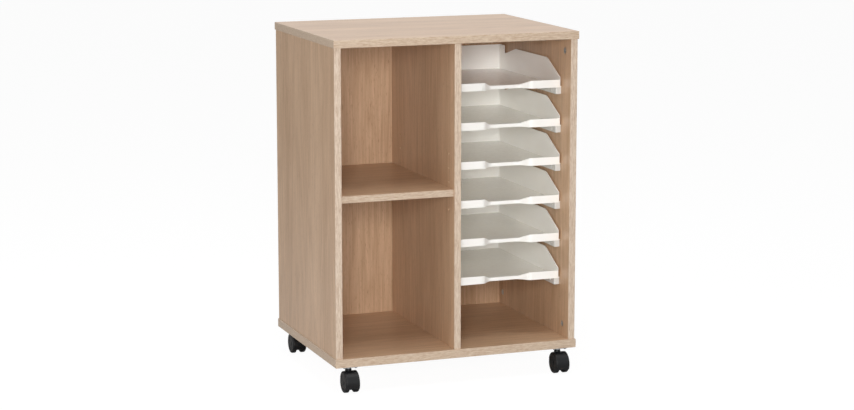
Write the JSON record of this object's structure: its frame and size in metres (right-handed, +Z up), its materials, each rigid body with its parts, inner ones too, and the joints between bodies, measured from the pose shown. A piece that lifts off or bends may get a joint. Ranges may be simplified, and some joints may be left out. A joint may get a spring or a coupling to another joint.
{
  "type": "rolling storage cabinet",
  "caption": "Rolling open-front storage cabinet in oak laminate with a shelf bay, a bay of pull-out letter trays on runners and twin-wheel swivel castors.",
  "frame": {"origin": "on the floor under the middle of the whole cart, wheels included", "axes": "+Z up, -Y out of the open front, +X to the right of someone facing the front"},
  "size_m": [0.59, 0.4647, 0.801],
  "materials": {
    "oak_laminate": "satin",
    "edging": "satin",
    "beech": "matte",
    "cast_zinc": "satin",
    "zinc_plated_steel": "satin",
    "tray_plastic": "gloss",
    "runner_plastic": "satin",
    "hood_plastic": "satin",
    "wheel_plastic": "satin"
  },
  "bodies": {
    "cabinet": {"top_board": "oak_laminate", "top_board_edging": "edging", "base_board": "oak_laminate", "base_board_edging": "edging", "left_side": "oak_laminate", "right_side": "oak_laminate", "side_edging": "edging", "partition": "oak_laminate", "partition_edging": "edging", "back_panel": "oak_laminate", "shelf": "oak_laminate", "shelf_edging": "edging", "shelf_pins": "zinc_plated_steel", "cam_locks": "cast_zinc", "cam_bolts": "zinc_plated_steel", "wood_dowels": "beech", "runner_screws": "zinc_plated_steel", "castor_screws": "zinc_plated_steel", "left_runner_1": "runner_plastic", "right_runner_1": "runner_plastic", "left_runner_2": "runner_plastic", "right_runner_2": "runner_plastic", "left_runner_3": "runner_plastic", "right_runner_3": "runner_plastic", "left_runner_4": "runner_plastic", "right_runner_4": "runner_plastic", "left_runner_5": "runner_plastic", "right_runner_5": "runner_plastic", "left_runner_6": "runner_plastic", "right_runner_6": "runner_plastic", "front_left_castor_plate": "zinc_plated_steel", "front_left_castor_stem": "zinc_plated_steel", "front_right_castor_plate": "zinc_plated_steel", "front_right_castor_stem": "zinc_plated_steel", "rear_left_castor_plate": "zinc_plated_steel", "rear_left_castor_stem": "zinc_plated_steel", "rear_right_castor_plate": "zinc_plated_steel", "rear_right_castor_stem": "zinc_plated_steel"},
    "tray_1": {"tray_1": "tray_plastic"},
    "tray_2": {"tray_2": "tray_plastic"},
    "tray_3": {"tray_3": "tray_plastic"},
    "tray_4": {"tray_4": "tray_plastic"},
    "tray_5": {"tray_5": "tray_plastic"},
    "tray_6": {"tray_6": "tray_plastic"},
    "front_left_castor_swivel": {"front_left_castor_hood": "hood_plastic", "front_left_castor_axle": "zinc_plated_steel"},
    "front_left_castor_left_wheel": {"front_left_castor_left_wheel": "wheel_plastic"},
    "front_left_castor_right_wheel": {"front_left_castor_right_wheel": "wheel_plastic"},
    "front_right_castor_swivel": {"front_right_castor_hood": "hood_plastic", "front_right_castor_axle": "zinc_plated_steel"},
    "front_right_castor_left_wheel": {"front_right_castor_left_wheel": "wheel_plastic"},
    "front_right_castor_right_wheel": {"front_right_castor_right_wheel": "wheel_plastic"},
    "rear_left_castor_swivel": {"rear_left_castor_hood": "hood_plastic", "rear_left_castor_axle": "zinc_plated_steel"},
    "rear_left_castor_left_wheel": {"rear_left_castor_left_wheel": "wheel_plastic"},
    "rear_left_castor_right_wheel": {"rear_left_castor_right_wheel": "wheel_plastic"},
    "rear_right_castor_swivel": {"rear_right_castor_hood": "hood_plastic", "rear_right_castor_axle": "zinc_plated_steel"},
    "rear_right_castor_left_wheel": {"rear_right_castor_left_wheel": "wheel_plastic"},
    "rear_right_castor_right_wheel": {"rear_right_castor_right_wheel": "wheel_plastic"}
  },
  "joints": [
    {"name": "tray_1_slide", "type": "slide", "parent": "cabinet", "child": "tray_1", "axis": [0, -1, 0], "range_m": [0, 0.36]},
    {"name": "tray_2_slide", "type": "slide", "parent": "cabinet", "child": "tray_2", "axis": [0, -1, 0], "range_m": [0, 0.36]},
    {"name": "tray_3_slide", "type": "slide", "parent": "cabinet", "child": "tray_3", "axis": [0, -1, 0], "range_m": [0, 0.36]},
    {"name": "tray_4_slide", "type": "slide", "parent": "cabinet", "child": "tray_4", "axis": [0, -1, 0], "range_m": [0, 0.36]},
    {"name": "tray_5_slide", "type": "slide", "parent": "cabinet", "child": "tray_5", "axis": [0, -1, 0], "range_m": [0, 0.36]},
    {"name": "tray_6_slide", "type": "slide", "parent": "cabinet", "child": "tray_6", "axis": [0, -1, 0], "range_m": [0, 0.36]},
    {"name": "front_left_castor_turn", "type": "hinge", "parent": "cabinet", "child": "front_left_castor_swivel", "pos_m": [-0.258, -0.1955, 0.0525], "axis": [0, 0, 1], "continuous": true},
    {"name": "front_left_castor_left_wheel_spin", "type": "hinge", "parent": "front_left_castor_swivel", "child": "front_left_castor_left_wheel", "pos_m": [-0.27, -0.2075, 0.0235], "axis": [1, 0, 0], "continuous": true},
    {"name": "front_left_castor_right_wheel_spin", "type": "hinge", "parent": "front_left_castor_swivel", "child": "front_left_castor_right_wheel", "pos_m": [-0.246, -0.2075, 0.0235], "axis": [1, 0, 0], "continuous": true},
    {"name": "front_right_castor_turn", "type": "hinge", "parent": "cabinet", "child": "front_right_castor_swivel", "pos_m": [0.258, -0.1955, 0.0525], "axis": [0, 0, 1], "continuous": true},
    {"name": "front_right_castor_left_wheel_spin", "type": "hinge", "parent": "front_right_castor_swivel", "child": "front_right_castor_left_wheel", "pos_m": [0.246, -0.2075, 0.0235], "axis": [1, 0, 0], "continuous": true},
    {"name": "front_right_castor_right_wheel_spin", "type": "hinge", "parent": "front_right_castor_swivel", "child": "front_right_castor_right_wheel", "pos_m": [0.27, -0.2075, 0.0235], "axis": [1, 0, 0], "continuous": true},
    {"name": "rear_left_castor_turn", "type": "hinge", "parent": "cabinet", "child": "rear_left_castor_swivel", "pos_m": [-0.258, 0.2075, 0.0525], "axis": [0, 0, 1], "continuous": true},
    {"name": "rear_left_castor_left_wheel_spin", "type": "hinge", "parent": "rear_left_castor_swivel", "child": "rear_left_castor_left_wheel", "pos_m": [-0.27, 0.1955, 0.0235], "axis": [1, 0, 0], "continuous": true},
    {"name": "rear_left_castor_right_wheel_spin", "type": "hinge", "parent": "rear_left_castor_swivel", "child": "rear_left_castor_right_wheel", "pos_m": [-0.246, 0.1955, 0.0235], "axis": [1, 0, 0], "continuous": true},
    {"name": "rear_right_castor_turn", "type": "hinge", "parent": "cabinet", "child": "rear_right_castor_swivel", "pos_m": [0.258, 0.2075, 0.0525], "axis": [0, 0, 1], "continuous": true},
    {"name": "rear_right_castor_left_wheel_spin", "type": "hinge", "parent": "rear_right_castor_swivel", "child": "rear_right_castor_left_wheel", "pos_m": [0.246, 0.1955, 0.0235], "axis": [1, 0, 0], "continuous": true},
    {"name": "rear_right_castor_right_wheel_spin", "type": "hinge", "parent": "rear_right_castor_swivel", "child": "rear_right_castor_right_wheel", "pos_m": [0.27, 0.1955, 0.0235], "axis": [1, 0, 0], "continuous": true}
  ]
}
